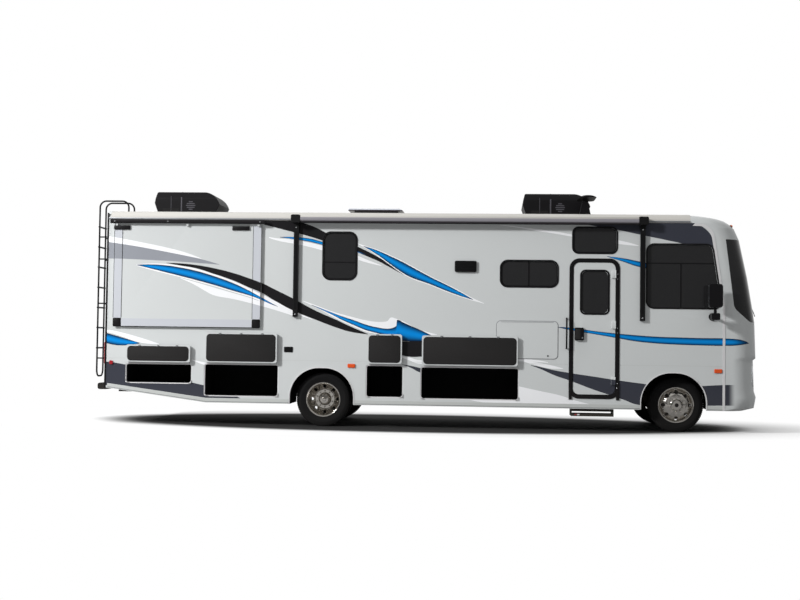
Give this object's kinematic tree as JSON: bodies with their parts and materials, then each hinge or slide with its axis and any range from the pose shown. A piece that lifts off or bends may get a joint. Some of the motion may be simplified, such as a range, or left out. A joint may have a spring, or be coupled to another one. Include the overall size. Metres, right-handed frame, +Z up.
{
  "type": "motorhome",
  "caption": "Front-engined class A motor coach with slide-out rooms, an entry door, luggage bays, a patio awning, roof coolers and a tail ladder.",
  "frame": {"origin": "on the ground under the middle of the coach's length and width", "axes": "+X to the nose, +Y to the driver's side, +Z up"},
  "size_m": [10.0968, 3.1, 3.6499],
  "materials": {
    "body_skin": "gloss",
    "roof_skin": "gloss",
    "dark_glass": "gloss",
    "black_trim": "satin",
    "galvanised": "satin",
    "bright_trim": "satin",
    "deck": "matt",
    "frame_black": "satin",
    "cast": "matt",
    "red_lens": "gloss",
    "amber_lens": "gloss",
    "clear_lens": "gloss",
    "seat_fabric": "matt",
    "tyre": "matt",
    "wheel_chrome": "polished"
  },
  "bodies": {
    "coach": {"air_conditioners": "black_trim", "awning": "frame_black", "bay_bins": "black_trim", "bay_frames": "bright_trim", "cab_bases": "deck", "cab_seats": "seat_fabric", "dashboard": "black_trim", "drive_line": "galvanised", "engine_block": "cast", "entry_frame": "black_trim", "entry_step": "frame_black", "floor_deck": "deck", "frame_rails": "frame_black", "front_axle": "frame_black", "front_cap": "body_skin", "grille": "black_trim", "headlamps": "clear_lens", "kerb_wall": "body_skin", "ladder": "frame_black", "marker_lamps": "amber_lens", "mirrors": "black_trim", "rear_axle": "frame_black", "rear_bumper": "frame_black", "rear_cap": "body_skin", "road_wall": "body_skin", "roof": "roof_skin", "roof_vent": "black_trim", "service_hatch": "body_skin", "side_vents": "black_trim", "stepwell": "black_trim", "tail_lamps": "red_lens", "tv_antenna": "black_trim", "wheel_wells": "black_trim", "window_frames": "black_trim", "window_glass": "dark_glass", "windshield": "dark_glass"},
    "entry_door": {"entry_door": "body_skin", "entry_door_glass": "dark_glass"},
    "kerb_room": {"kerb_room": "body_skin"},
    "road_room": {"road_room": "body_skin", "road_room_glass": "dark_glass"},
    "steering_wheel": {"steering_wheel": "black_trim"},
    "knuckle_right": {"knuckle_right": "cast"},
    "knuckle_left": {"knuckle_left": "cast"},
    "front_wheel_right": {"front_tyre_right": "tyre", "front_rim_right": "wheel_chrome"},
    "front_wheel_left": {"front_tyre_left": "tyre", "front_rim_left": "wheel_chrome"},
    "rear_wheels_right": {"rear_tyres_right": "tyre", "rear_rims_right": "wheel_chrome"},
    "rear_wheels_left": {"rear_tyres_left": "tyre", "rear_rims_left": "wheel_chrome"},
    "kerb_tail_bay_door": {"kerb_tail_bay_door": "body_skin"},
    "kerb_aft_bay_door": {"kerb_aft_bay_door": "body_skin"},
    "kerb_mid_bay_door": {"kerb_mid_bay_door": "body_skin"},
    "kerb_long_bay_door": {"kerb_long_bay_door": "body_skin"},
    "road_tail_bay_door": {"road_tail_bay_door": "body_skin"},
    "road_aft_bay_door": {"road_aft_bay_door": "body_skin"},
    "road_long_bay_door": {"road_long_bay_door": "body_skin"}
  },
  "joints": [
    {"name": "entry_door_swing", "type": "hinge", "parent": "coach", "child": "entry_door", "pos_m": [2.8525, -1.286, 1.5], "axis": [0, 0, 1], "range_deg": [0, 105]},
    {"name": "kerb_room_slide", "type": "slide", "parent": "coach", "child": "kerb_room", "axis": [0, -1, 0], "range_m": [0, 0.6]},
    {"name": "road_room_slide", "type": "slide", "parent": "coach", "child": "road_room", "axis": [0, 1, 0], "range_m": [0, 0.75]},
    {"name": "steering_wheel_turn", "type": "hinge", "parent": "coach", "child": "steering_wheel", "pos_m": [3.9715, 0.6, 1.56], "axis": [-0.866, 0, 0.5], "range_deg": [-540, 540]},
    {"name": "knuckle_right_steer", "type": "hinge", "parent": "coach", "child": "knuckle_right", "pos_m": [3.7745, -0.84, 0.405], "axis": [0, 0, 1], "range_deg": [-35, 35]},
    {"name": "front_wheel_right_spin", "type": "hinge", "parent": "knuckle_right", "child": "front_wheel_right", "pos_m": [3.7745, -0.99, 0.405], "axis": [0, 1, 0], "continuous": true},
    {"name": "rear_wheels_right_spin", "type": "hinge", "parent": "coach", "child": "rear_wheels_right", "pos_m": [-1.5085, -0.932, 0.405], "axis": [0, 1, 0], "continuous": true},
    {"name": "knuckle_left_steer", "type": "hinge", "parent": "coach", "child": "knuckle_left", "pos_m": [3.7745, 0.84, 0.405], "axis": [0, 0, 1], "range_deg": [-35, 35]},
    {"name": "front_wheel_left_spin", "type": "hinge", "parent": "knuckle_left", "child": "front_wheel_left", "pos_m": [3.7745, 0.99, 0.405], "axis": [0, 1, 0], "continuous": true},
    {"name": "rear_wheels_left_spin", "type": "hinge", "parent": "coach", "child": "rear_wheels_left", "pos_m": [-1.5085, 0.932, 0.405], "axis": [0, 1, 0], "continuous": true},
    {"name": "kerb_tail_bay_door_hinge", "type": "hinge", "parent": "coach", "child": "kerb_tail_bay_door", "pos_m": [-4.021, -1.282, 0.916], "axis": [1, 0, 0], "range_deg": [0, 180]},
    {"name": "kerb_aft_bay_door_hinge", "type": "hinge", "parent": "coach", "child": "kerb_aft_bay_door", "pos_m": [-2.7505, -1.282, 0.924], "axis": [1, 0, 0], "range_deg": [0, 180]},
    {"name": "kerb_mid_bay_door_hinge", "type": "hinge", "parent": "coach", "child": "kerb_mid_bay_door", "pos_m": [-0.574, -1.282, 0.938], "axis": [1, 0, 0], "range_deg": [0, 180]},
    {"name": "kerb_long_bay_door_hinge", "type": "hinge", "parent": "coach", "child": "kerb_long_bay_door", "pos_m": [0.701, -1.282, 0.926], "axis": [1, 0, 0], "range_deg": [0, 180]},
    {"name": "road_tail_bay_door_hinge", "type": "hinge", "parent": "coach", "child": "road_tail_bay_door", "pos_m": [-4.021, 1.282, 0.916], "axis": [1, 0, 0], "range_deg": [0, 175]},
    {"name": "road_aft_bay_door_hinge", "type": "hinge", "parent": "coach", "child": "road_aft_bay_door", "pos_m": [-2.7505, 1.282, 0.924], "axis": [1, 0, 0], "range_deg": [0, 175]},
    {"name": "road_long_bay_door_hinge", "type": "hinge", "parent": "coach", "child": "road_long_bay_door", "pos_m": [0.701, 1.282, 0.926], "axis": [1, 0, 0], "range_deg": [0, 88]}
  ],
  "couplings": [
    {"joint": "knuckle_right_steer", "follows": "steering_wheel_turn", "ratio": 0.0648},
    {"joint": "knuckle_left_steer", "follows": "steering_wheel_turn", "ratio": 0.0648}
  ]
}
